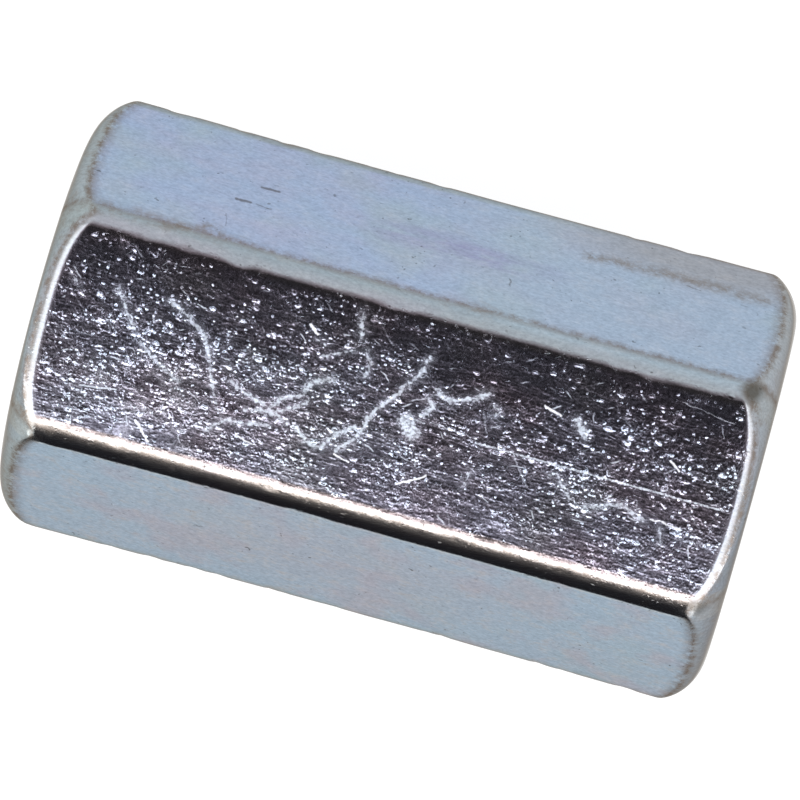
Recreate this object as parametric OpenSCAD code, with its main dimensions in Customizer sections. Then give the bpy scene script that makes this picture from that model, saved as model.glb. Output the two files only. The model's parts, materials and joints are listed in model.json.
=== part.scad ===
// Hexagonal coupling nut: a long steel nut that joins two threaded rods end to end.
// It lies on one of its six flats, with the bore along X and its middle at the origin.

/* [Thread] */
// Nominal diameter of the metric thread
thread_d = 8; // [6:0.5:9]
// Pitch of the thread
thread_pitch = 1.25; // [0.5:0.05:1.5]
// How much wider than the thread's nominal diameter each countersink's mouth is
countersink_margin = 0.6; // [0.2:0.1:1]
// Full angle of the cone at each countersink
countersink_angle = 90; // [60:5:120]

/* [Body] */
// Width between two opposite flats, which is the spanner size
across_flats = 13; // [12:0.5:24]
// Length from end face to end face
nut_length = 24; // [12:1:60]

/* [Edges] */
// Radius along the six long edges
edge_r = 0.8; // [0.2:0.1:2]
// Radius of the arc that rounds each end off towards the corners
end_round_r = 2.1; // [0.6:0.1:2.4]

/* [Hidden] */
$fn = 96;

SIDES = 6;
corner_angle = 360 / SIDES;
flat_half_angle = corner_angle / 2;

// The long edges: the arc of each lies about a line inside the hexagon's sharp corner.
corner_r = across_flats / 2 / cos(flat_half_angle);
edge_centre_r = (across_flats / 2 - edge_r) / cos(flat_half_angle);

// The ends: an arc runs from the end face to the cylinder through the sharp corners.
end_face_r = corner_r - end_round_r;
end_arc_x = nut_length / 2 - end_round_r;

// The bore: it is drilled to the minor diameter of a 60 degree metric thread.
thread_depth = 5 / 8 * cos(30) * thread_pitch;
minor_r = thread_d / 2 - thread_depth;
mouth_r = (thread_d + countersink_margin) / 2;
countersink_slope = tan(countersink_angle / 2);

// Cuts run this far past the faces that they open.
overcut = 0.5;

function polar(r, angle) = r * [cos(angle), sin(angle)];

// Section of the drawn bar: straight flats, with an arc at each of the six edges.
// A corner points along Y, so that a flat faces straight down.
module bar_section() {
    polygon([
        for (corner = [0:SIDES - 1])
            for (side = [-1, 1])
                polar(edge_centre_r, corner * corner_angle)
                + polar(edge_r, corner * corner_angle + side * flat_half_angle)
    ]);
    for (corner = [0:SIDES - 1])
        translate(polar(edge_centre_r, corner * corner_angle)) circle(r = edge_r);
}

// Half section of the turned ends: radius across, bore axis up.
module turned_section() {
    translate([0, -nut_length / 2]) square([end_face_r, nut_length]);
    translate([0, -end_arc_x]) square([corner_r, 2 * end_arc_x]);
    for (end = [-1, 1]) {
        intersection() {
            translate([end_face_r, end * end_arc_x]) circle(r = end_round_r);
            translate([0, -nut_length / 2]) square([corner_r, nut_length]);
        }
    }
}

// Tapping hole right through, with a countersink at each mouth.
module tapped_bore() {
    cylinder(r = minor_r, h = nut_length + 2 * overcut, center = true);
    for (end = [0, 1]) {
        mirror([0, 0, end])
            translate([0, 0, nut_length / 2 - (mouth_r - minor_r) / countersink_slope])
                cylinder(
                    r1 = minor_r,
                    r2 = mouth_r + overcut * countersink_slope,
                    h = (mouth_r - minor_r) / countersink_slope + overcut
                );
    }
}

// The nut is made along Z and laid down with its bore along X.
module nut_body() {
    color([0.66, 0.69, 0.74])
        rotate([0, 90, 0])
            rotate([0, 0, 90])
                difference() {
                    intersection() {
                        linear_extrude(height = nut_length, center = true) bar_section();
                        rotate_extrude() turned_section();
                    }
                    tapped_bore();
                }
}

nut_body();
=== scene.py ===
# %% [markdown]
# A coupling nut is a long hexagonal nut that joins two threaded rods end to end.
# It is sawn from drawn hexagonal bar, drilled, countersunk and tapped right through, tumbled until
# its edges are round, and then zinc plated and dipped in a clear blue passivate.
# The exact solid is loaded first. It gives the sizes used here, and the dressed nut takes its place.

# %% Load the solid and read its sizes
import json
import math

import bmesh
import bpy
from mathutils import Matrix, Vector


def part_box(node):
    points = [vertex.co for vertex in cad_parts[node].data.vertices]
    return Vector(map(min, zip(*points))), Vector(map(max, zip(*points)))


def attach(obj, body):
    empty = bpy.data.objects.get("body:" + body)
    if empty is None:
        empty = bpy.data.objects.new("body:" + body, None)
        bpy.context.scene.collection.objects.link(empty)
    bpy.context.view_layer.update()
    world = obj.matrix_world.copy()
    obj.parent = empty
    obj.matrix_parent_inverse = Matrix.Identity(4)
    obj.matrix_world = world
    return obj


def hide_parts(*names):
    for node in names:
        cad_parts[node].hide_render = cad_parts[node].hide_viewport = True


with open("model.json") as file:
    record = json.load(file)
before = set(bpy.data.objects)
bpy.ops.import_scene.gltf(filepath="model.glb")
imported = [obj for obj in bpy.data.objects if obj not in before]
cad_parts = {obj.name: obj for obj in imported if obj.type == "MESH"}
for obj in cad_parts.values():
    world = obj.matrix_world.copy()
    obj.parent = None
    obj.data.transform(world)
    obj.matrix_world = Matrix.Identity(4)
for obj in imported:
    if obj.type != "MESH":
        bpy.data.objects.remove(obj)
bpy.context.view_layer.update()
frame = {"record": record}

MM = 0.001
NODE = "nut_body"
low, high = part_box(NODE)
across_flats = high.z - low.z
thread_mount = next(m for m in frame["record"]["mounts"] if m["name"] == "thread_right")
minor_r = thread_mount["dims"]["r_mm"] * MM
countersink = (high.x - low.x - thread_mount["dims"]["length_mm"] * MM) / 2
print(f"nut {(high.x - low.x) / MM:.1f} mm long, {across_flats / MM:.1f} mm across the flats")

# %% [markdown]
# The box doesn't tell how the edges are worn. The six long edges of drawn bar start out sharp, and
# barrel tumbling rounds them to under a millimetre; the edge that took the most knocks is rounder.
# The rims, where the turned ends meet the flats, are worn in the same way, the left one more.

# %% Sizes that the solid's box doesn't give
sawn_over = 0.35 * MM
nut_length = high.x - low.x + sawn_over
thread_pitch = 1.25 * MM
major_r = 4.0 * MM
mouth_r = minor_r + countersink
edge_r = 0.88 * MM
front_edge_r = 1.0 * MM
end_round_r = 1.95 * MM
left_rim_r = 0.62 * MM
right_rim_r = 0.56 * MM
flat_crown = 0.04 * MM
waist = 0.08 * MM
waviness = 0.04 * MM
knock_depth = 0.06 * MM
print(f"long edges {edge_r / MM:.2f} mm, rims {left_rim_r / MM:.2f} and {right_rim_r / MM:.2f} mm")

# %% [markdown]
# A shape that follows a rule is made in Geometry Nodes, and a rule is mostly arithmetic.
# Wiring dozens of Math nodes by hand hides the rule, so a small class does the wiring: adding or
# multiplying two Num values places the Math node and hands back its result. The formula then
# reads in the script as it would on paper, and the same class serves the material further down.

# %% A number inside a node tree
def feed(tree, slot, value):
    """Links a Num or a socket to an input, or sets a plain value on it."""
    if isinstance(value, Num):
        tree.links.new(value.socket, slot)
    elif isinstance(value, bpy.types.NodeSocket):
        tree.links.new(value, slot)
    else:
        slot.default_value = value


class Num:
    """A number that flows through a node tree. Arithmetic on it adds Math nodes."""

    def __init__(self, tree, socket):
        self.tree = tree
        self.socket = socket

    def math(self, operation, *others, clamp=False):
        node = self.tree.nodes.new("ShaderNodeMath")
        node.operation = operation
        node.use_clamp = clamp
        for slot, value in zip(node.inputs, (self, *others)):
            feed(self.tree, slot, value)
        return Num(self.tree, node.outputs[0])

    def __add__(self, other):
        return self.math("ADD", other)

    def __sub__(self, other):
        return self.math("SUBTRACT", other)

    def __rsub__(self, other):
        return (self * -1.0) + other

    def __mul__(self, other):
        return self.math("MULTIPLY", other)

    def __truediv__(self, other):
        return self.math("DIVIDE", other)

    __radd__ = __add__
    __rmul__ = __mul__

    def share(self, start, span):
        """How far the number is from start to start + span, held between 0 and 1."""
        return ((self - start) / span).math("ADD", 0.0, clamp=True)

    def sin(self):
        return self.math("SINE")

    def cos(self):
        return self.math("COSINE")

    def root(self):
        return self.math("SQRT")

    def square(self):
        return self * self

    def size(self):
        return self.math("ABSOLUTE")

    def least(self, other):
        return self.math("MINIMUM", other)

    def most(self, other):
        return self.math("MAXIMUM", other)


def between(first, second, share):
    """The number that lies a share of the way from the first to the second."""
    return first + (second - first) * share


def place(tree, kind, inputs=None, **settings):
    """Adds a node, sets its options and feeds its inputs by name."""
    node = tree.nodes.new(kind)
    for key, value in settings.items():
        setattr(node, key, value)
    for label, value in (inputs or {}).items():
        feed(tree, node.inputs[label], value)
    return node


def noise(tree, where, scale, detail=2.0, roughness=0.5):
    """Smooth noise around 0.5 at a position."""
    node = place(tree, "ShaderNodeTexNoise", {"Vector": where, "Scale": scale, "Detail": detail,
                                              "Roughness": roughness})
    return Num(tree, node.outputs[0])


def new_geometry_tree(name, inputs):
    """A geometry tree with named number inputs. Returns the tree and its inputs as Nums."""
    tree = bpy.data.node_groups.new(name, "GeometryNodeTree")
    tree.interface.new_socket("Geometry", in_out="OUTPUT", socket_type="NodeSocketGeometry")
    for label, value in inputs.items():
        socket = tree.interface.new_socket(label, in_out="INPUT", socket_type="NodeSocketFloat")
        socket.default_value = value
    entry = tree.nodes.new("NodeGroupInput")
    return tree, {label: Num(tree, entry.outputs[label]) for label in inputs}


print("node arithmetic is ready")

# %% [markdown]
# The outside is one sheet of faces wrapped round the nut. Its columns follow the section of the
# bar: a run across each flat, then a run round each long edge. Its rows follow the length: along
# the flats, over the rounded end, and in across the end face to the mouth of the bore.
# The end is a turned arc, and tumbling has rounded the line where that arc meets the flats.
# Both are made at once, as the path of a ball that rolls over the arc until it touches the flat.
# Real flats are never quite flat: rolling crowns them a little and tumbling leaves a slow waviness,
# and a mirror finish shows both at once, so they are in the shape and not only in the material.

# %% The outside of the nut
SIDES = 6
SIDE_TURN = math.radians(360 / SIDES)
FLAT_COLUMNS = 26
EDGE_COLUMNS = 10
SIDE_ROWS = 60
TURN_ROWS = 20
FACE_ROWS = 4
columns_per_side = FLAT_COLUMNS + EDGE_COLUMNS
columns = SIDES * columns_per_side
middle_row = SIDE_ROWS + TURN_ROWS + FACE_ROWS

# The long edges are counted from the back and over the top. The upper front one is the rounder.
FRONT_EDGE = 1.0
SAME_EDGE = 0.1
NO_TURN = 0.001

# The waist narrows the middle by this share of its depth and widens the ends by the rest.
WAIST_BALANCE = 0.4
WAVES_PER_METRE = 260.0
KNOCKS_PER_METRE = 900.0
KNOCK_ZONE = (0.56, 0.2)
KNOCK_REACH = 1.2 * MM


def sheet_of_rows(tree, rows):
    """A grid as wide as the nut is round, with each point's column and row as Nums."""
    grid = place(tree, "GeometryNodeMeshGrid", {"Vertices X": columns + 1, "Vertices Y": rows + 1})
    index = Num(tree, place(tree, "GeometryNodeInputIndex").outputs[0])
    column = (index / float(rows + 1)).math("FLOOR")
    return grid.outputs[0], column, index - column * float(rows + 1)


def bar_section(tree, column, size):
    """A column's angle, its distance from the axis and its distance from the nearest long edge."""
    side = (column / float(columns_per_side)).math("FLOOR")
    step = column - side * float(columns_per_side)
    across = step.share(0.0, float(FLAT_COLUMNS)) * 2.0 - 1.0
    turn = step.share(float(FLAT_COLUMNS), float(EDGE_COLUMNS))
    nearest_edge = side - across.math("LESS_THAN", 0.0)
    is_front = nearest_edge.math("COMPARE", FRONT_EDGE, SAME_EDGE)
    edge = between(size["Edge radius"], size["Front edge radius"], is_front)
    inner = size["Across flats"] * 0.5 - edge - size["Crown"]
    half_flat = inner * math.tan(SIDE_TURN / 2)
    tip = size["Crown"] * 2.0 / half_flat
    lean = across * tip + turn * (SIDE_TURN - tip * 2.0)
    out = inner + edge * lean.cos() + size["Crown"] * (1.0 - across.square())
    along = half_flat * across + edge * lean.sin()
    angle = side * SIDE_TURN + SIDE_TURN / 2 + along.math("ARCTAN2", out)
    on_flat = half_flat * (1.0 - across.size()) + edge * (SIDE_TURN / 2)
    on_edge = (turn - 0.5).size() * edge * SIDE_TURN
    edge_gap = between(on_edge, on_flat, turn.math("COMPARE", 0.0, NO_TURN))
    return angle, (out.square() + along.square()).root(), edge_gap


def set_places(tree, mesh, x, angle, radius):
    """Moves every point to a place along, round and away from the nut's axis."""
    where = place(tree, "ShaderNodeCombineXYZ",
                  {"X": x, "Y": radius * angle.cos(), "Z": radius * angle.sin()})
    moved = place(tree, "GeometryNodeSetPosition", {"Geometry": mesh, "Position": where.outputs[0]})
    return moved.outputs[0]


def keep(tree, mesh, name, value):
    """Stores a number on every point under a name that the material can read."""
    return place(tree, "GeometryNodeStoreNamedAttribute",
                 {"Geometry": mesh, "Name": name, "Value": value}).outputs[0]


def outside(tree, size):
    """Flats, long edges, rounded ends and end faces, as one sheet."""
    mesh, column, row = sheet_of_rows(tree, 2 * middle_row)
    angle, radius, edge_gap = bar_section(tree, column, size)
    from_middle = row - float(middle_row)
    steps = from_middle.size()
    end = from_middle.math("SIGN")
    side_share = steps.share(0.0, float(SIDE_ROWS))
    turn_share = steps.share(float(SIDE_ROWS), float(TURN_ROWS))
    face_share = steps.share(float(SIDE_ROWS + TURN_ROWS), float(FACE_ROWS))
    lean = (1.0 - turn_share) * math.radians(90)

    rim = between(size["Left rim"], size["Right rim"], end.share(-1.0, 2.0))
    roll = size["End radius"] - rim
    arc_r = size["Across flats"] * (0.5 / math.cos(SIDE_TURN / 2)) - size["End radius"]
    stop_sin = (radius - rim - arc_r) / roll
    stop_cos = (1.0 - stop_sin.square()).most(0.0).root()
    out = arc_r + roll * lean.sin().least(stop_sin) + rim * lean.sin()
    reach = size["Length"] * 0.5 - size["End radius"] + roll * lean.cos().most(stop_cos)
    reach = reach + rim * lean.cos()
    x = end * reach * side_share

    place_y = out * angle.cos()
    place_z = out * angle.sin()
    where = place(tree, "ShaderNodeCombineXYZ", {"X": x, "Y": place_y, "Z": place_z}).outputs[0]
    along = (x / (size["Length"] * 0.5)).square()
    out = out + size["Waist"] * (along - WAIST_BALANCE)
    wave = noise(tree, where, WAVES_PER_METRE, detail=2.0) - 0.5
    out = out + wave * size["Waviness"]
    knock = noise(tree, where, KNOCKS_PER_METRE, detail=3.0).share(*KNOCK_ZONE)
    near_edge = 1.0 - edge_gap.share(0.0, KNOCK_REACH)
    out = out - knock * near_edge * size["Knocks"]
    out = between(out, size["Mouth radius"], face_share)
    mesh = set_places(tree, mesh, x, angle, out)
    end_gap = reach * (1.0 - side_share) - turn_share * size["End radius"]
    return keep(tree, mesh, "end_gap", end_gap)


print(f"outside: {columns} columns, {2 * middle_row} rows")

# %% [markdown]
# The tapped bore is a second sheet. Every row of it is one line of the thread: it climbs one pitch
# as it goes round, so a row's last point meets the first point of the row one pitch on, and the
# sheet closes on itself. A metric thread is flat for a quarter pitch at its crest and for an eighth
# at its root, with straight flanks between. The countersink only keeps the larger radius of its
# own cone and the thread, as the real tool leaves it.

# %% The thread inside
CREST_ROWS = 1
FLANK_ROWS = 3
ROOT_ROWS = 1
ROWS_PER_PITCH = CREST_ROWS + FLANK_ROWS + ROOT_ROWS + FLANK_ROWS
CREST = 1 / 4
FLANK = 5 / 16
ROOT = 1 / 8

# The first row lies this many pitches outside the nut, so every column has begun at the end face.
LEAD_IN = 1.25
FAR_FROM_END = 5 * MM
pitches = math.ceil(nut_length / thread_pitch) + 1


def bore(tree, size):
    """The thread with a countersink at each end, as one sheet."""
    mesh, column, row = sheet_of_rows(tree, pitches * ROWS_PER_PITCH)
    angle, _, _ = bar_section(tree, column, size)
    pitch = (row / float(ROWS_PER_PITCH)).math("FLOOR")
    line = row - pitch * float(ROWS_PER_PITCH)
    crest = line.share(0, CREST_ROWS)
    up = line.share(CREST_ROWS, FLANK_ROWS)
    root = line.share(CREST_ROWS + FLANK_ROWS, ROOT_ROWS)
    down = line.share(CREST_ROWS + FLANK_ROWS + ROOT_ROWS, FLANK_ROWS)
    travel = crest * CREST + up * FLANK + root * ROOT + down * FLANK
    climb = angle / (SIDES * SIDE_TURN)
    half = size["Length"] * 0.5
    x = (pitch + travel + climb - LEAD_IN) * size["Pitch"] - half
    x = x.most(half * -1.0).least(half)
    thread_r = between(size["Minor radius"], size["Major radius"], up - down)
    cone_r = size["Mouth radius"] - (half - x.size())
    mesh = set_places(tree, mesh, x, angle, thread_r.most(cone_r))
    mesh = place(tree, "GeometryNodeFlipFaces", {"Mesh": mesh}).outputs[0]
    return keep(tree, mesh, "end_gap", FAR_FROM_END)


print(f"thread: {pitches} turns of {thread_pitch / MM:.2f} mm pitch, {columns} points a turn")

# %% [markdown]
# Both sheets end on the same ring at the mouth of the bore, point for point, so merging the points
# that coincide turns them into one closed body. Corners sharper than a third of a right angle stay
# crisp: they are the mouth of the bore and the crests of the thread. All others shade smoothly.

# %% Build the nut and make it a plain mesh
CRISP_ANGLE = math.radians(30)
MERGE_WITHIN = 0.001 * MM
zinc = bpy.data.materials.new("zinc_plate")
sizes = {
    "Length": nut_length, "Across flats": across_flats,
    "Edge radius": edge_r, "Front edge radius": front_edge_r,
    "End radius": end_round_r, "Left rim": left_rim_r, "Right rim": right_rim_r,
    "Mouth radius": mouth_r, "Minor radius": minor_r, "Major radius": major_r, "Pitch": thread_pitch,
    "Crown": flat_crown, "Waist": waist, "Waviness": waviness, "Knocks": knock_depth,
}
tree, size = new_geometry_tree("coupling_nut", sizes)
sheets = place(tree, "GeometryNodeJoinGeometry")
for sheet in (outside(tree, size), bore(tree, size)):
    tree.links.new(sheet, sheets.inputs[0])
whole = place(tree, "GeometryNodeMergeByDistance",
              {"Geometry": sheets.outputs[0], "Distance": MERGE_WITHIN})
corner = Num(tree, place(tree, "GeometryNodeInputMeshEdgeAngle").outputs["Unsigned Angle"])
crisp = corner.math("GREATER_THAN", CRISP_ANGLE)
soft = place(tree, "GeometryNodeSetShadeSmooth", {"Geometry": whole.outputs[0], "Shade Smooth": True})
edges = place(tree, "GeometryNodeSetShadeSmooth",
              {"Geometry": soft.outputs[0], "Selection": crisp, "Shade Smooth": False}, domain="EDGE")
real = place(tree, "GeometryNodeRealizeInstances", {"Geometry": edges.outputs[0]})
finish = place(tree, "GeometryNodeSetMaterial", {"Geometry": real.outputs[0], "Material": zinc})
tree.links.new(finish.outputs[0], tree.nodes.new("NodeGroupOutput").inputs[0])

maker = bpy.data.objects.new("nut_maker", bpy.data.meshes.new("nut_maker"))
bpy.context.scene.collection.objects.link(maker)
modifier = maker.modifiers.new("coupling_nut", "NODES")
modifier.node_group = tree
for item in tree.interface.items_tree:
    if item.in_out == "INPUT":
        modifier[item.identifier] = sizes[item.name]
evaluated = maker.evaluated_get(bpy.context.evaluated_depsgraph_get())
mesh = bpy.data.meshes.new_from_object(evaluated)
mesh.name = "nut"
nut = bpy.data.objects.new("nut", mesh)
bpy.context.scene.collection.objects.link(nut)
bpy.data.objects.remove(maker)

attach(nut, "root")
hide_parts(NODE)
check = bmesh.new()
check.from_mesh(mesh)
open_edges = sum(not edge.is_manifold for edge in check.edges)
volume = check.calc_volume(signed=True) / MM**3
check.free()
triangles = sum(len(face.vertices) - 2 for face in mesh.polygons)
print(f"nut: {triangles} triangles, {open_edges} open edges, {volume:.0f} cubic mm")

# %% [markdown]
# Zinc plate under a clear blue passivate is a bright metal with a thin cool tint that drifts from
# blue to lavender and sea green, because the film isn't the same thickness all over. The colour is
# therefore a blend of close tints, each with its own region, and nothing is one flat colour.
# Everything is measured in millimetres on the nut itself, from its Object coordinates.

# %% Helpers for the material
def colour(red, green, blue):
    """A screen colour of 0 to 255 as the linear colour that shaders use."""
    return tuple(((c / 255 + 0.055) / 1.055) ** 2.4 for c in (red, green, blue)) + (1.0,)


# A Mix node keeps one set of sockets for each kind of value. These are the ones for colours.
MIX_SHARE = 0
MIX_FIRST = 6
MIX_SECOND = 7
MIX_RESULT = 2


def blend(tree, share, first, second):
    """Mixes two colours by a share."""
    node = tree.nodes.new("ShaderNodeMix")
    node.data_type = "RGBA"
    feed(tree, node.inputs[MIX_SHARE], share)
    feed(tree, node.inputs[MIX_FIRST], first)
    feed(tree, node.inputs[MIX_SECOND], second)
    return node.outputs[MIX_RESULT]


def vector_math(tree, operation, *values):
    """Adds a Vector Math node and feeds its inputs in order."""
    node = place(tree, "ShaderNodeVectorMath", operation=operation)
    for slot, value in zip(node.inputs, values):
        feed(tree, slot, value)
    return node


def dot(tree, first, second):
    """The dot product of two vectors, as a Num."""
    return Num(tree, vector_math(tree, "DOT_PRODUCT", first, second).outputs["Value"])


def scaled(tree, vector, *factors):
    """A vector times one factor for each axis."""
    return vector_math(tree, "MULTIPLY", vector, factors).outputs[0]


def new_shader_group(name, inputs, output):
    """A shader group with named inputs, each given as (kind, value), and one number as its output."""
    group = bpy.data.node_groups.new(name, "ShaderNodeTree")
    for label, (kind, value) in inputs.items():
        socket = group.interface.new_socket(label, in_out="INPUT", socket_type="NodeSocket" + kind)
        socket.default_value = value
    group.interface.new_socket(output, in_out="OUTPUT", socket_type="NodeSocketFloat")
    entry = group.nodes.new("NodeGroupInput")
    return group, {label: entry.outputs[label] for label in inputs}


def end_group(group, value):
    """Sends a value to the group's output."""
    feed(group, group.nodes.new("NodeGroupOutput").inputs[0], value)


def use_group(group, inputs):
    """Places a group in the zinc material and returns its output as a Num."""
    return Num(shade, place(shade, "ShaderNodeGroup", inputs, node_tree=group).outputs[0])


print("material helpers are ready")

# %% [markdown]
# Tumbling with other nuts leaves each face covered in tiny round dints. Up close every dint is a
# small facet that leans its own way, and a bright plate shows each as a spark or a dark fleck.
# Voronoi cells give one random lean to each facet, and the lean fades out towards the cell's edge.

# %% Tumbling dints
ORIGIN = ("Vector", (0, 0, 0))
FAINTEST = 0.12
LUCK_ADDS = 0.9
CHANCE_FADE = 0.25
HOLLOW = 0.06
dints, inside = new_shader_group(
    "tumbling_dints", {"Position": ORIGIN, "Dints per mm": ("Float", 4.0),
                       "Density": ("Float", 0.5), "Spread": ("Float", 0.5)}, "Height")
cells = place(dints, "ShaderNodeTexVoronoi",
              {"Vector": inside["Position"], "Scale": inside["Dints per mm"]})
offset = vector_math(dints, "SUBTRACT", inside["Position"], cells.outputs["Position"]).outputs[0]
lean = vector_math(dints, "SUBTRACT", cells.outputs["Color"], (0.5, 0.5, 0.5)).outputs[0]
slope = dot(dints, offset, lean)
pick = dot(dints, cells.outputs["Color"], (0, 0, 1))
luck = dot(dints, cells.outputs["Color"], (0, 1, 0))
is_there = (Num(dints, inside["Density"]) - pick).share(0.0, CHANCE_FADE)
carried = is_there * (luck.square() * LUCK_ADDS + FAINTEST)
near = 1.0 - (Num(dints, cells.outputs["Distance"]) / inside["Spread"]).square().least(1.0)
depth = Num(dints, inside["Spread"]) * HOLLOW / inside["Dints per mm"]
end_group(dints, (slope + depth) * near.square() * carried)


def dint_height(where, per_mm, density, spread=0.6):
    """Height of the dints at a position. The spread is a dint's reach as a share of its cell."""
    return use_group(dints, {"Position": where, "Dints per mm": per_mm, "Density": density,
                             "Spread": spread})


print(f"dints: {len(dints.nodes)} nodes")

# %% [markdown]
# Knocks against sharp corners leave longer marks: pale scuffs where the plate is torn open, and
# dark nicks that hold dirt. Each one is the set of points that lie close to a short line, so one
# group measures the distance to a line, and each mark places it with its own two ends.

# %% One stroke of a mark
stroke_group, inside = new_shader_group(
    "stroke", {"Position": ORIGIN, "Start": ORIGIN, "Direction": ("Vector", (1, 0, 0)),
               "Length": ("Float", 1.0), "Half width": ("Float", 0.05)}, "Distance")
gone = vector_math(stroke_group, "SUBTRACT", inside["Position"], inside["Start"]).outputs[0]
along = dot(stroke_group, gone, inside["Direction"]).most(0.0).least(inside["Length"])
nearest = place(stroke_group, "ShaderNodeVectorMath", {"Scale": along}, operation="SCALE")
feed(stroke_group, nearest.inputs[0], inside["Direction"])
away = vector_math(stroke_group, "DISTANCE", gone, nearest.outputs[0]).outputs["Value"]
end_group(stroke_group, Num(stroke_group, away) - inside["Half width"])


def off_strokes(where, marks):
    """How far a point lies outside some marks. Each is a width in mm and the points of its path."""
    distance = None
    for width, *points in marks:
        for start, end in zip(points, points[1:]):
            line = Vector((*end, 0)) - Vector((*start, 0))
            one = use_group(stroke_group, {"Position": where, "Start": Vector((*start, 0)),
                                           "Direction": line.normalized(), "Length": line.length,
                                           "Half width": width / 2})
            distance = one if distance is None else distance.least(one)
    return distance


print(f"one stroke: {len(stroke_group.nodes)} nodes")

# %% [markdown]
# Between the long marks lie countless short scratches from small corners. Placing each by hand
# would be endless, so flat Voronoi cells hold one scratch each: the cell's random colour gives its
# angle, its length and whether it is there at all.

# %% Short random scratches
LEVEL_CHANCE = 0.62
ANGLE_RANGE = 2.2
TIP_FADE = (-0.1, 0.15)
SIDE_FADE = (0.0, 0.03)
THERE = (0.45, 0.55)
scratch_group, inside = new_shader_group(
    "short_scratches", {"Position": ORIGIN, "Scratches per mm": ("Float", 1.0),
                        "Half length": ("Float", 0.25), "Half width": ("Float", 0.02)}, "Mask")
cells = place(scratch_group, "ShaderNodeTexVoronoi",
              {"Vector": inside["Position"], "Scale": inside["Scratches per mm"]},
              voronoi_dimensions="2D")
offset = vector_math(scratch_group, "SUBTRACT", inside["Position"], cells.outputs["Position"]).outputs[0]
offset_parts = place(scratch_group, "ShaderNodeSeparateXYZ", {"Vector": offset})
across = Num(scratch_group, offset_parts.outputs[0])
up = Num(scratch_group, offset_parts.outputs[1])
chance = place(scratch_group, "ShaderNodeSeparateXYZ", {"Vector": cells.outputs["Color"]})
angle = (Num(scratch_group, chance.outputs[0]) - LEVEL_CHANCE) * ANGLE_RANGE
along = (across * angle.cos() + up * angle.sin()).size()
aside = (up * angle.cos() - across * angle.sin()).size()
length = Num(scratch_group, inside["Half length"]) * chance.outputs[1]
half = Num(scratch_group, inside["Half width"])
mask = (1.0 - (along - length).share(*TIP_FADE)) * (1.0 - (aside - half).share(*SIDE_FADE))
end_group(scratch_group, mask * Num(scratch_group, chance.outputs[2]).share(*THERE))


def short_scratches(where, per_mm, half_length, half_width):
    """A mask of scratches at a position on a flat, one for each cell."""
    return use_group(scratch_group, {"Position": where, "Scratches per mm": per_mm,
                                     "Half length": half_length, "Half width": half_width})


print(f"short scratches: {len(scratch_group.nodes)} nodes")

# %% [markdown]
# Every mark and tint needs to know where it is. Each face therefore gets its own flat coordinates
# in millimetres, and masks say how near a point is to a long edge, to an end or to the top flat.
# Marks wander, so a little noise is added to the position before a stroke is measured.

# %% Where things are on the nut
# A zone is where it starts, in mm, and how much further on it is whole.
OUTSIDE = (4.6, 0.5)
TOP_FLAT = (6.2, 0.2)
SIDE_FLAT = (6.3, 0.1)
UPPER = (4.0, 0.5)
BACK_TURN = 60
FRONT_TURN = -60

# Strokes wander by this much, in mm, and their borders are ragged.
WANDER_PER_MM = 3.0
WANDER = 0.16
RAGGED = (7.0, 2.0, 0.7)
zinc.use_nodes = True
shade = zinc.node_tree
shade.nodes.clear()
coords = place(shade, "ShaderNodeTexCoord").outputs["Object"]
in_mm = scaled(shade, coords, 1 / MM, 1 / MM, 1 / MM)
parts = place(shade, "ShaderNodeSeparateXYZ", {"Vector": in_mm})
px, py, pz = (Num(shade, parts.outputs[i]) for i in range(3))
end_gap = Num(shade, place(shade, "ShaderNodeAttribute", attribute_name="end_gap").outputs["Fac"]) / MM
radius = (py.square() + pz.square()).root()
outer = radius.share(*OUTSIDE)
turn = pz.math("ARCTAN2", py)
corner_angle = (turn + SIDE_TURN / 2).math("FLOORED_MODULO", SIDE_TURN) - SIDE_TURN / 2
from_corner = corner_angle * radius
top_face = pz.share(*TOP_FLAT) * outer


def on_face(turn_degrees):
    """Position on a side flat, along the nut and across from its middle, and a mask of the flat."""
    angle = math.radians(turn_degrees)
    down = py * math.cos(angle) - pz * math.sin(angle)
    out = py * math.sin(angle) + pz * math.cos(angle)
    flat = place(shade, "ShaderNodeCombineXYZ", {"X": px, "Y": down, "Z": 0.0}).outputs[0]
    return flat, out.share(*SIDE_FLAT)


top_flat = place(shade, "ShaderNodeCombineXYZ", {"X": px, "Y": py, "Z": 0.0}).outputs[0]
back_flat, back_face = on_face(BACK_TURN)
front_flat, front_face = on_face(FRONT_TURN)
ragged = noise(shade, in_mm, *RAGGED)
wander = place(shade, "ShaderNodeTexNoise", {"Vector": in_mm, "Scale": WANDER_PER_MM, "Detail": 2.0})
wandering = vector_math(shade, "MULTIPLY_ADD", wander.outputs["Color"],
                        (WANDER, WANDER, 0.0), (-WANDER / 2, -WANDER / 2, 0.0)).outputs[0]


def scribble(flat):
    """A position on a flat, shaken so that straight strokes wander."""
    return vector_math(shade, "ADD", flat, wandering).outputs[0]


print(f"places: {len(shade.nodes)} nodes")
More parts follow.
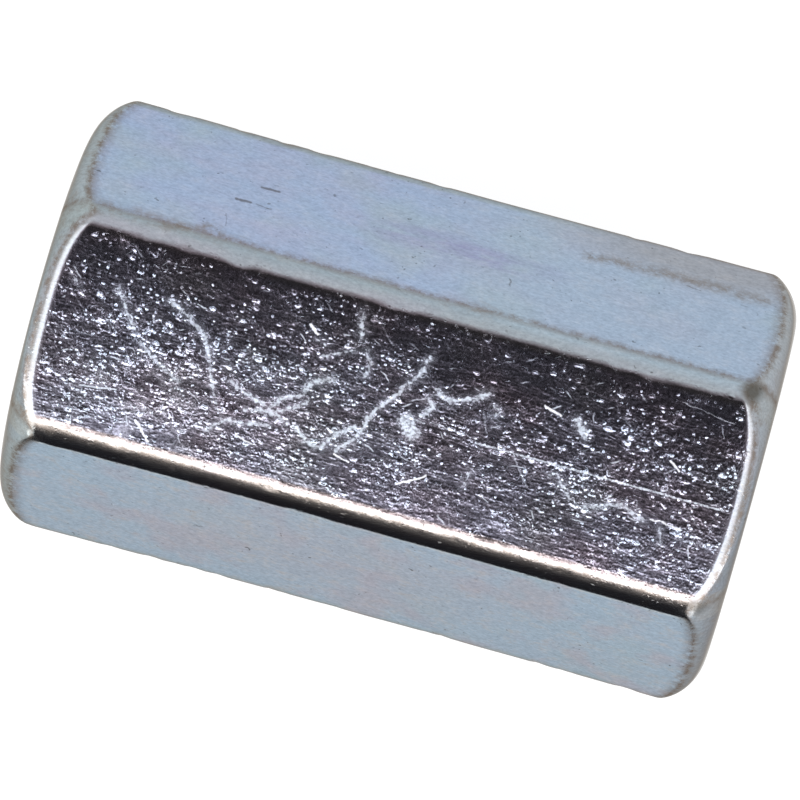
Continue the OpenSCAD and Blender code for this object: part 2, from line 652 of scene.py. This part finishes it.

# %% [markdown]
# The passivate film is a few hundred nanometres thick and tints the zinc by interference. It runs
# from blue on the wide flats to lavender and sea green in patches, and thins to grey green on the
# rounded edges. Along the upper front edge, the one that took the most knocks, the colour is near
# white: partly zinc rubbed bare, partly a painted highlight that makes that edge's reflection white.

# %% The passivate's drifting tint
BLUE = colour(160, 179, 208)
LAVENDER = colour(165, 176, 203)
SEA = colour(160, 180, 188)
TAN = colour(176, 170, 166)
BROWN = colour(118, 104, 92)
GREY = colour(158, 164, 174)
VIOLET = colour(150, 154, 190)
ROSE = colour(176, 172, 184)
ROUNDED_EDGE = colour(152, 165, 171)
# Near white for the upper front edge: bare zinc, and a painted highlight there.
BARED_AND_HIGHLIT_EDGE = colour(224, 222, 220)
BACK_RIGHT = colour(164, 182, 197)
FRONT = colour(167, 187, 201)
FRONT_MIDDLE = colour(172, 178, 192)
LEFT_END = colour(162, 173, 175)
RIGHT_END_FRONT = colour(146, 153, 160)
RIGHT_END_BACK = colour(166, 172, 176)
TOP_GREY = colour(170, 168, 172)
TOP_ROSE = colour(176, 168, 184)

# A noise is its features per mm, its detail and its roughness.
# Some are stretched along the nut: the position that they read has its X scaled down.
DRIFT = (0.45, 3.0, 0.6)
SEA_PATCHES = (0.3, 2.0)
ROSE_PATCHES = (0.55, 2.0)
HAZE = (1.8, 3.0, 0.7)
MOTTLE = (2.2, 4.0, 0.75)
GRAIN = (10.0, 1.0, 0.7)
CRUMBS = (9.0, 2.0, 0.7)

# A patch is the middle, half length and half width of a soft oval, in mm.
VIOLET_PATCH = (0.8, -0.1, 3.4, 0.9)
GREY_PATCH = (9.0, 3.0, 5.5, 1.6)
FRONT_PATCH = (-1.0, 0.5, 7.0, 3.0)
PATCH_FADE = (0.4, 0.8)

# Zones, each with where it starts and how much further on it is whole. The first five are of
# noise values, and the others are in mm.
DRIFTED = (0.45, 0.2)
MOTTLED = (0.5, 0.2)
IN_PATCHES = (0.5, 0.15)
HAZY = (0.3, 0.35)
CRUMBLY = (0.36, 0.28)
OFF_ROUNDING = (0.4, 0.15)
OFF_BARE_AND_HIGHLIT = (0.50, 0.06)
OFF_RIDGE = (0.35, 0.2)
FRONT_SIDE = (2.6, 0.3)
RIGHT_HALF = (-1.0, 4.0)
OFF_END_ARC = (-0.3, 0.4)

TONE_LEVEL = 0.61
MOTTLE_DEPTH = 0.40
GRAIN_DEPTH = 0.56
CRUMB_DEPTH = 0.9


def patch(flat, x, down, long, wide):
    """A soft oval patch on a face."""
    away = vector_math(shade, "SUBTRACT", flat, (x, down, 0)).outputs[0]
    away = scaled(shade, away, 1 / long, 1 / wide, 0.0)
    return 1.0 - Num(shade, vector_math(shade, "LENGTH", away).outputs["Value"]).share(*PATCH_FADE)


def lay(under, over, mask, strength=None):
    """Lays one colour over another where a mask says, and at most as strongly as strength."""
    return blend(shade, mask if strength is None else mask * strength, under, over)


drift = noise(shade, scaled(shade, in_mm, 0.6, 1, 1), *DRIFT)
base = lay(BLUE, LAVENDER, drift.share(*DRIFTED))
base = lay(base, SEA, noise(shade, in_mm, *SEA_PATCHES).share(*IN_PATCHES), strength=0.45)
near_corner = 1.0 - from_corner.size().share(*OFF_ROUNDING)
base = lay(base, ROUNDED_EDGE, near_corner, strength=0.85)
# Painted highlight: the upper front edge is made near white, partly as bare zinc, partly so that its
# reflection shows white.
bared_and_highlit = (1.0 - from_corner.size().share(*OFF_BARE_AND_HIGHLIT)) * (py * -1.0).share(*FRONT_SIDE)
bared_and_highlit = bared_and_highlit * pz.share(*UPPER)
base = lay(base, BARED_AND_HIGHLIT_EDGE, bared_and_highlit, strength=0.85)
base = lay(base, BACK_RIGHT, px.share(*RIGHT_HALF) * back_face, strength=0.5)
hazy = noise(shade, scaled(shade, in_mm, 0.3, 1, 1), *HAZE).share(*HAZY)
base = lay(base, VIOLET, patch(back_flat, *VIOLET_PATCH) * back_face * hazy, strength=0.8)
base = lay(base, FRONT, front_face, strength=0.7)
base = lay(base, GREY, patch(back_flat, *GREY_PATCH) * back_face)
base = lay(base, FRONT_MIDDLE, patch(front_flat, *FRONT_PATCH) * front_face, strength=0.6)
mottle = noise(shade, scaled(shade, in_mm, 0.7, 1, 1), *MOTTLE)
base = lay(base, TAN, (front_face * 0.35 + 0.15) * mottle.share(*MOTTLED))
rosy = front_face * noise(shade, in_mm, *ROSE_PATCHES).share(*IN_PATCHES)
base = lay(base, ROSE, rosy, strength=0.5)
end_arc = 1.0 - end_gap.share(*OFF_END_ARC)
end_share = end_arc * 0.85
on_right = px.share(0.0, 1.0)
right_end = blend(shade, py.share(0.0, 3.0), RIGHT_END_FRONT, RIGHT_END_BACK)
base = lay(base, blend(shade, on_right, LEFT_END, right_end), end_share)
base = lay(base, TOP_GREY, top_face, strength=0.35)
base = lay(base, TOP_ROSE, top_face * drift.share(*DRIFTED), strength=0.3)
base = lay(base, BROWN, end_arc * mottle.share(*MOTTLED), strength=0.35)

grain = noise(shade, scaled(shade, in_mm, 0.6, 1, 1), *GRAIN)
rounded = (1.0 - from_corner.size().share(*OFF_RIDGE)) * (1.0 - py.share(0.0, 1.0) * 0.4)
rounded = rounded.most(1.0 - end_gap.share(-0.05, 0.1))
crumbs = noise(shade, in_mm, *CRUMBS).share(*CRUMBLY)
flat_top = top_face * from_corner.size().share(*OFF_RIDGE) * end_gap.share(0.0, 0.2)
clouded = TONE_LEVEL + MOTTLE_DEPTH * mottle + GRAIN_DEPTH * grain
crumbled = 1.0 + flat_top * (crumbs * CRUMB_DEPTH - CRUMB_DEPTH / 2)
base = vector_math(shade, "MULTIPLY", base, clouded * crumbled).outputs[0]
print(f"tint: {len(shade.nodes)} nodes so far")

# %% [markdown]
# Handling leaves a brown film of old oil where a cloth doesn't reach: in a thin line along each
# side of the long edges, round the rims of the ends, and in a spot at the back right corner. The
# dark spot at the front right corner is painted shade, a painted dark reflection where the front
# edge's dark line fades out.

# %% Dirt along the long edges and round the ends, and a painted dark spot
DARK = colour(62, 62, 58)
# Brown of old oil, also used for a painted dark reflection at the front right corner.
OLD_OIL_AND_PAINTED_SHADE = colour(84, 80, 72)
GRIME = (2.2, 4.0, 0.8)
DOTS = (5.5, 1.0)
DOTTED_PLACES = 0.9
EDGE_SMUDGE = (1.7, 3.9, 1.2, 2.0)
BACK_SPOT = (11.25, 3.75, 0.40, 0.40)
# A painted dark reflection at the front right corner, where the front edge's dark line ends.
FRONT_PAINTED_REFLECTION = (11.3, -3.5, 0.4, 0.3)
GRIMY = (0.36, 0.2)

# The line lies beside each long edge, nearer to it at the front, and wanders with the grime.
LINE_SHIFT = 0.32
LINE_OFFSET = 0.18
LINE_WANDER = 0.3
END_WANDER = 0.9
OFF_EDGE_LINE = (0.02, 0.24)
OFF_SMUDGE = (0.05, 0.4)
OFF_END_LINE = (0.05, 0.45)
LEFT_PART = (-7.0, 4.0)
grime = noise(shade, in_mm, *GRIME)
upright = pz.share(3.0, 1.0)
line_at = upright * (py.share(-1.0, 2.0) * -LINE_SHIFT - LINE_OFFSET)
off_line = (from_corner - line_at + (grime - 0.5) * LINE_WANDER).size()
edge_line = (1.0 - off_line.share(*OFF_EDGE_LINE)) * grime.share(0.25, 0.35) * 0.9
smudge = (1.0 - off_line.share(*OFF_SMUDGE)) * upright * mottle.share(0.40, 0.2) * 0.8
smudge = smudge * (1.0 - px.share(*LEFT_PART)).most(patch(top_flat, *EDGE_SMUDGE))
top_sector = (pz / radius).share(0.86, 0.02)
off_end = (end_gap + 0.15 + top_sector * 0.6 + (grime - 0.5) * END_WANDER).size()
end_line = (1.0 - off_end.share(*OFF_END_LINE)) * grime.share(*GRIMY)
soiled = edge_line.most(end_line).most(smudge) * outer
base = lay(base, BROWN, soiled, strength=0.8)
# Old oil at the back right corner, and painted shade at the front right corner.
oil_spot_and_painted_shade = patch(top_flat, *BACK_SPOT).most(patch(top_flat, *FRONT_PAINTED_REFLECTION) * 0.7)
base = lay(base, OLD_OIL_AND_PAINTED_SHADE, oil_spot_and_painted_shade * pz.share(*UPPER), strength=0.85)
dots = noise(shade, in_mm, *DOTS).share(0.70, 0.05)
dots = dots * noise(shade, in_mm, DOTTED_PLACES).share(0.45, 0.2)
base = lay(base, DARK, dots, strength=0.6)
print(f"dirt: {len(shade.nodes)} nodes so far")

# %% [markdown]
# The top flat carries the most marks. Each row below is one of them: its width in millimetres, then
# the points that it passes through, along and across the flat. Scuffs are broad and flaky, flecks
# are fresh cuts that shine, and one long straight line was left when the bar was drawn.

# %% Scuffs on the top flat
SCUFFS = [
    (0.13, (-7.8, 1.6), (-7.1, 1.3), (-6.45, 0.8), (-6.05, 0.0), (-5.8, -0.7)),
    (0.04, (-5.8, -0.7), (-5.55, -1.15), (-5.25, -1.7)),
    (0.10, (-9.55, 1.55), (-8.75, 0.45)),
    (0.12, (-8.4, 0.05), (-7.75, -0.4), (-6.95, -0.85)),
    (0.04, (-11.25, 1.75), (-10.85, 1.3)),
    (0.12, (-5.25, -0.4), (-4.6, -0.65), (-3.8, -0.9), (-3.15, -1.25)),
    (0.14, (-4.5, -1.15), (-3.85, -1.0), (-3.55, -0.55), (-2.9, -0.2), (-2.7, 0.3), (-2.0, 0.55)),
    (0.12, (-3.85, -1.15), (-2.65, -0.4)),
    (0.11, (-5.65, -2.15), (-5.15, -1.7), (-3.65, -1.45)),
    (0.11, (-2.8, -1.3), (-2.35, -1.65), (-1.85, -1.7), (-1.5, -1.15), (-0.95, -0.75)),
    (0.13, (-1.35, -1.65), (-0.75, -1.0), (-0.6, -0.4), (-0.3, 0.15), (0.2, 0.8)),
    (0.12, (0.2, 0.8), (0.6, 1.3), (0.85, 2.1)),
    (0.03, (-2.9, 1.7), (-2.4, 1.5)),
    (0.04, (-2.55, 1.2), (-1.6, 1.65)),
    (0.10, (-1.2, 1.7), (-0.95, 1.3), (-1.1, 0.95)),
    (0.16, (-1.7, 3.0), (-1.5, 2.2)),
    (0.15, (1.35, 1.1), (1.6, 0.9), (2.0, 0.9), (2.65, 1.2), (3.0, 1.45)),
    (0.13, (1.1, 0.8), (1.35, 0.55), (1.05, 0.15)),
    (0.50, (0.6, -0.15), (0.9, -0.45)),
    (0.04, (3.2, 1.1), (3.5, 0.95), (3.3, 0.75)),
    (0.20, (6.0, 1.35), (6.35, 0.95)),
    (0.04, (5.65, -0.55), (5.8, -0.5), (6.45, -1.2)),
    (0.12, (6.95, -1.3), (7.4, -1.15), (8.1, -0.9), (8.85, -1.2)),
    (0.05, (9.5, -1.3), (9.65, -1.8)),
    (0.06, (3.05, -1.2), (2.95, -1.7)),
]
FLECKS = [
    (0.08, (-3.2, 2.1), (-2.9, 1.85)),
    (0.04, (-4.6, -2.05), (-4.0, -2.2)),
    (0.05, (-1.4, -1.8), (-0.85, -1.9)),
    (0.07, (-7.9, -2.45), (-7.35, -3.0)),
    (0.06, (4.85, 1.55), (5.45, 1.35)),
    (0.06, (0.85, -2.2), (1.7, -1.7)),
    (0.03, (9.1, -1.1), (10.15, -1.15)),
    (0.05, (9.25, 0.9), (9.6, 0.65)),
    (0.01, (9.15, 2.85), (10.95, 2.6)),
]
DRAWN_LINE = [(0.04, (3.0, -0.22), (11.6, -0.22))]
SCUFF = colour(198, 210, 222)
FRESH_CUT = colour(240, 242, 244)
FLAKY = (12.0, 1.0, 0.6)

# Where the top flat is worn, as soft ovals
LEFT_WEAR = (-5.0, -0.6, 6.5, 3.2)
CORNER_WEAR = (-8.5, -2.0, 3.0, 1.4)
RIGHT_WEAR = (4.0, -0.5, 7.0, 1.6)
SPARED = (3.6, 2.0, 2.5, 1.4)


def torn(distance, raggedness, grow, start, fade):
    """A mark from the distance to its strokes. Its border is ragged and fades out."""
    return 1.0 - (distance + ragged * raggedness - grow).share(start, fade)


flaky = noise(shade, in_mm, *FLAKY).share(0.40, 0.2)
off_scuffs = off_strokes(scribble(top_flat), SCUFFS)
core = torn(off_scuffs, raggedness=0.30, grow=0.13, start=-0.05, fade=0.10)
haze = torn(off_scuffs, raggedness=0.5, grow=0.20, start=0.0, fade=0.3)
off_flecks = off_strokes(scribble(top_flat), FLECKS)
flecks = torn(off_flecks, raggedness=0.06, grow=0.03, start=-0.02, fade=0.05)
off_line = off_strokes(top_flat, DRAWN_LINE)
line = torn(off_line, raggedness=0.10, grow=0.05, start=-0.02, fade=0.05)
dashes = short_scratches(scribble(top_flat), per_mm=1.7, half_length=0.26, half_width=0.008)
hairs = short_scratches(scribble(top_flat), per_mm=0.7, half_length=1.3, half_width=0.012)
worn = patch(top_flat, *LEFT_WEAR) * 0.45 + patch(top_flat, *CORNER_WEAR) * 0.5
worn = worn + patch(top_flat, *RIGHT_WEAR) * 0.2 - patch(top_flat, *SPARED) * 0.3
marked = core * (0.17 + flaky * 0.48) + haze * 0.2
marked = marked.most(dashes * 0.6)
marked = marked.most(hairs * (0.2 + worn * 0.7))
marked = marked.most(line * (0.4 + flaky * 0.45))
marked = marked.most(flecks * 0.8)
marked = marked.most(worn * mottle.share(0.4, 0.3) * 0.32)
on_flat = top_face * (py + 3.3).share(0.0, 0.3) * end_gap.share(0.1, 0.2)
scuffed = marked * on_flat * (1.0 - py.share(2.2, 0.8) * 0.6)
base = lay(base, blend(shade, flecks, SCUFF, FRESH_CUT), scuffed)

print(f"top flat: {len(SCUFFS)} scuffs, {len(FLECKS)} flecks")

# %% [markdown]
# The side flat at the back has a few dark nicks that hold dirt, and a dull smear.

# %% Nicks and smears on the back flat
NICKS = [
    (0.13, (-6.1, 0.4), (-5.5, 0.4)),
    (0.12, (-6.8, -0.7), (-6.3, -0.7)),
    (0.05, (-6.1, -0.7), (-5.6, -0.75)),
    (0.01, (-6.9, -1.7), (-6.8, -2.4)),
    (0.04, (2.6, -1.0), (2.7, -1.4)),
    (0.02, (8.3, 1.4), (8.8, 1.3)),
    (0.03, (10.2, 1.1), (10.4, 1.1)),
]
SMEARS = [
    (0.3, (5.0, 1.6), (7.5, 1.8), (10.8, 1.7)),
    (0.1, (-8.6, -3.3), (-7.9, -3.1), (-7.2, -2.6), (-6.9, -3.0)),
]
NICK = colour(88, 86, 88)
SMEAR = colour(128, 120, 112)
off_nicks = off_strokes(scribble(back_flat), NICKS)
nicked = torn(off_nicks, raggedness=0.1, grow=0.05, start=-0.03, fade=0.06)
base = lay(base, NICK, nicked * back_face, strength=0.7)
off_smears = off_strokes(scribble(back_flat), SMEARS)
smeared = torn(off_smears, raggedness=0.6, grow=0.3, start=-0.1, fade=0.4)
base = lay(base, SMEAR, smeared * back_face * grime.share(*GRIMY), strength=0.65)

print(f"back flat: {len(NICKS)} nicks, {len(SMEARS)} smears")

# %% [markdown]
# The look of a bright plate is almost all reflection, so its relief matters more than its colour.
# Large and small dints crowd together in worn patches, and a fine ripple lies between them. The
# rounded edges get less of it. Scuffed and soiled places are duller than the plate around them.

# %% Relief, gloss and the finished shader
CLUSTERS = (1.6, 3.0, 0.75)
STREAKS = (2.6, 2.0, 0.6)
RIPPLE = (7.5, 1.0, 0.7)
CROWDED = (0.38, 0.22)
WOBBLE_PER_MM = 5.0
WOBBLE = (0.12, 0.12, 0.12)
DINT_SLANT = 0.2
DINT_STRETCH = (0.6, 0.95, 1.0)
LARGE_PER_MM = 5.5
SMALL_PER_MM = 9.0
FLAT_RIPPLE = 0.0015
CROWD_RIPPLE = 0.0085
GRAZING_TINT = (0.55, 0.5, 0.45, 1)
PLATE_ROUGHNESS = 0.12
SCUFF_ROUGHNESS = 0.5
SOIL_ROUGHNESS = 0.2
cluster = noise(shade, scaled(shade, in_mm, 0.35, 1.0, 1.0), *CLUSTERS).share(*CROWDED)
wobble = place(shade, "ShaderNodeTexNoise", {"Vector": in_mm, "Scale": WOBBLE_PER_MM, "Detail": 2.0})
wobbled = vector_math(shade, "MULTIPLY_ADD", wobble.outputs["Color"], WOBBLE, in_mm).outputs[0]
streaky = noise(shade, scaled(shade, in_mm, 0.10, 1.0, 1.0), *STREAKS).share(*CROWDED)
crowd = cluster * (0.52 + worn * 0.9) * (0.55 + streaky * 0.75) + worn * 0.2 + 0.12
slanted = place(shade, "ShaderNodeMapping", {"Vector": wobbled, "Rotation": (0.0, 0.0, DINT_SLANT),
                                             "Scale": DINT_STRETCH}).outputs[0]
large = dint_height(slanted, LARGE_PER_MM, crowd * 0.8)
specks = large + dint_height(wobbled, SMALL_PER_MM, crowd * 1.1)
ripple = noise(shade, scaled(shade, in_mm, 1.4, 0.8, 1.0), *RIPPLE)
strength = (0.25 + 0.75 * top_face) * (1.0 - 0.6 * rounded) * (1.0 - py.share(1.0, 2.0) * 0.42)
relief = (specks + ripple * (FLAT_RIPPLE + cluster * CROWD_RIPPLE)) * strength
bump = place(shade, "ShaderNodeBump", {"Height": relief, "Distance": MM})
roughness = PLATE_ROUGHNESS + SCUFF_ROUGHNESS * scuffed + SOIL_ROUGHNESS * soiled
shader = place(shade, "ShaderNodeBsdfPrincipled",
               {"Base Color": base, "Roughness": roughness, "Metallic": 1.0,
                "Specular Tint": GRAZING_TINT, "Normal": bump.outputs[0]})
shade.links.new(shader.outputs[0], place(shade, "ShaderNodeOutputMaterial").inputs[0])
print(f"zinc plate: {len(shade.nodes)} nodes")

# %% [markdown]
# Bright metal shows little but what surrounds it. The nut stands on a white sweep, which the side
# flats mirror as an even pale tone. Seen directly the floor is white but for the nut's faint
# shadow, and in reflections it is as bright as a lit sweep of paper.

# %% Floor
FLOOR_GREY = (0.85, 0.85, 0.86, 1)
FLOOR_GLOW = 0.93
SEEN_GLOW = 0.17
SEEN_SHARE = 0.8
floor_reach = 400 * MM
bpy.context.scene.view_settings.view_transform = "Standard"


def stage_material(name):
    """A material for the stage, left out of Cycles' lamp sampling, and its empty tree."""
    material = bpy.data.materials.new(name)
    material.use_nodes = True
    material.cycles.emission_sampling = "NONE"
    material.node_tree.nodes.clear()
    return material, material.node_tree


def stage_plane(name, corners, material):
    """One flat face that belongs to the stage and not to the nut."""
    mesh = bpy.data.meshes.new(name)
    mesh.from_pydata(corners, [], [tuple(range(len(corners)))])
    mesh.materials.append(material)
    obj = bpy.data.objects.new(name, mesh)
    bpy.context.scene.collection.objects.link(obj)
    return obj


floor_material, paper = stage_material("white_floor")
rays = place(paper, "ShaderNodeLightPath")
mirrored = Num(paper, rays.outputs["Is Glossy Ray"]).most(Num(paper, rays.outputs["Is Transmission Ray"]))
plain = place(paper, "ShaderNodeBsdfDiffuse", {"Color": FLOOR_GREY}).outputs[0]
by_camera = Num(paper, rays.outputs["Is Camera Ray"])
white = place(paper, "ShaderNodeEmission", {"Strength": FLOOR_GLOW + by_camera * SEEN_GLOW}).outputs[0]
mixed = place(paper, "ShaderNodeMixShader", {"Fac": mirrored.most(by_camera * SEEN_SHARE)})
paper.links.new(plain, mixed.inputs[1])
paper.links.new(white, mixed.inputs[2])
paper.links.new(mixed.outputs[0], place(paper, "ShaderNodeOutputMaterial").inputs[0])
corner_signs = ((-1, -1), (1, -1), (1, 1), (-1, 1))
floor_corners = [(x * floor_reach, y * floor_reach, low.z) for x, y in corner_signs]
stage_plane("floor", floor_corners, floor_material)
print(f"floor at {low.z / MM:.2f} mm, {2 * floor_reach:.1f} m wide")

# %% [markdown]
# A black card beside bright metal gives its edge a crisp dark line. This one is low and stands in
# front of the nut. Its upper border glows a dim warm brown, a painted reflection that the front edge
# shows as a brown fringe under its highlight. It is seen only in reflections: it can't be seen
# directly and doesn't shade the floor.

# %% Black card
CARD_BLACK = (0.015, 0.012, 0.014, 1)
# The card's brown border glows: a painted reflection, the brown fringe under the front edge's highlight.
CARD_BROWN_GLOW = (0.36, 0.19, 0.11, 1)
BROWN_GLOW_ZONE = (35 * MM, 5 * MM)
card_y = -30 * MM
card_left = -24 * MM
card_right = 20 * MM
card_top = 41 * MM
card_material, paint = stage_material("black_card")
card_where = place(paint, "ShaderNodeTexCoord").outputs["Object"]
card_parts = place(paint, "ShaderNodeSeparateXYZ", {"Vector": card_where})
# Painted reflection: the card glows brown towards its top.
brown_glow = Num(paint, card_parts.outputs["Z"]).share(*BROWN_GLOW_ZONE)
dark = place(paint, "ShaderNodeEmission", {"Color": blend(paint, brown_glow, CARD_BLACK, CARD_BROWN_GLOW)})
paint.links.new(dark.outputs[0], place(paint, "ShaderNodeOutputMaterial").inputs[0])
card_corners = [(card_left, card_y, low.z), (card_right, card_y, low.z),
                (card_right, card_y, card_top), (card_left, card_y, card_top)]
card = stage_plane("low_card", card_corners, card_material)
card.visible_camera = False
card.visible_diffuse = False
card.visible_shadow = False
print(f"card: {(card_right - card_left) / MM:.0f} mm wide, {-card_y / MM:.0f} mm in front of the axis")

# %% [markdown]
# Overhead hangs a dark soft-edged cap, the gap that the camera looks through, so the top flat
# mirrors darkness and its dints spark against it. Round the cap the sky is evenly bright, with a
# warmer and stronger zone in front and two at the sides that catch the edges and the rims.

# %% World
CAP_X = -0.03
CAP_Y = 0.05
CAP_LONG = 1.15
CAP_ZONE = (0.09, 0.34)
CAP_LEVEL = 0.023
SKY_LEVEL = 0.95
FRONT_LEVEL = 2.5
SIDE_LEVEL = 1.5
FRONT_STARTS = (0.17, 0.04)
FRONT_ENDS = (0.72, 0.06)
SIDES_START = (0.22, 0.12)
SIDES_END = (0.7, 0.15)
BACK_STARTS = (0.1, 0.3)
PLAIN_WHITE = (1, 1, 1, 1)
WARM_WHITE = (1.0, 0.97, 0.94, 1)
CAP_ROSE = (1.0, 0.74, 0.76, 1)
world = bpy.data.worlds.new("studio")
bpy.context.scene.world = world
world.use_nodes = True
sky = world.node_tree
sky.nodes.clear()
way = place(sky, "ShaderNodeTexCoord").outputs["Generated"]
way_parts = place(sky, "ShaderNodeSeparateXYZ", {"Vector": way})
dx = Num(sky, way_parts.outputs["X"])
dy = Num(sky, way_parts.outputs["Y"])
cap = ((dx - CAP_X).square() + ((dy - CAP_Y) / CAP_LONG).square()).root()
cap_mask = 1.0 - cap.share(*CAP_ZONE)
front = (dy * -1.0).share(*FRONT_STARTS) * (1.0 - (dy * -1.0).share(*FRONT_ENDS))
sides = dx.size().share(*SIDES_START) * (1.0 - dx.size().share(*SIDES_END))
sides = sides * (1.0 - dy.share(*BACK_STARTS))
level = SKY_LEVEL + (FRONT_LEVEL * front).most(sides * SIDE_LEVEL)
level = level * (1.0 - cap_mask) + CAP_LEVEL * cap_mask
white_seen = Num(sky, place(sky, "ShaderNodeLightPath").outputs["Is Camera Ray"])
strength = level + (1.0 - level) * white_seen
lit = blend(sky, front, PLAIN_WHITE, WARM_WHITE)
background = place(sky, "ShaderNodeBackground",
                   {"Color": blend(sky, cap_mask, lit, CAP_ROSE), "Strength": strength})
sky.links.new(background.outputs[0], place(sky, "ShaderNodeOutputWorld").inputs[0])
print(f"world: {len(sky.nodes)} nodes")

# %% [markdown]
# The camera looks almost straight down from a quarter of a metre, a little from the back and the
# right, and is rolled so that the nut lies at a slant. Its lens follows from the scale wanted.

# %% Camera
camera_at = Vector((7.11, 17.88, 240.0)) * MM
aim = Vector((0.05, 0.0, 0.0)) * MM
roll = math.radians(15.16)
pixels_per_mm = 29.88
pixels_across = 800
back = (camera_at - aim).normalized()
right = Vector((-math.sin(roll), math.cos(roll), 0)).cross(back).normalized()
up = back.cross(right)
cam_data = bpy.data.cameras.new("camera")
camera = bpy.data.objects.new("camera", cam_data)
bpy.context.scene.collection.objects.link(camera)
camera.matrix_world = Matrix.Translation(camera_at) @ Matrix((right, up, back)).transposed().to_4x4()
cam_data.sensor_width = 36.0
distance = (camera_at - aim).length
cam_data.lens = pixels_per_mm * distance / MM * cam_data.sensor_width / pixels_across
cam_data.clip_start = 10 * MM
cam_data.clip_end = 10
bpy.context.scene.camera = camera
print(f"camera: {cam_data.lens:.0f} mm lens, {distance / MM:.0f} mm away")
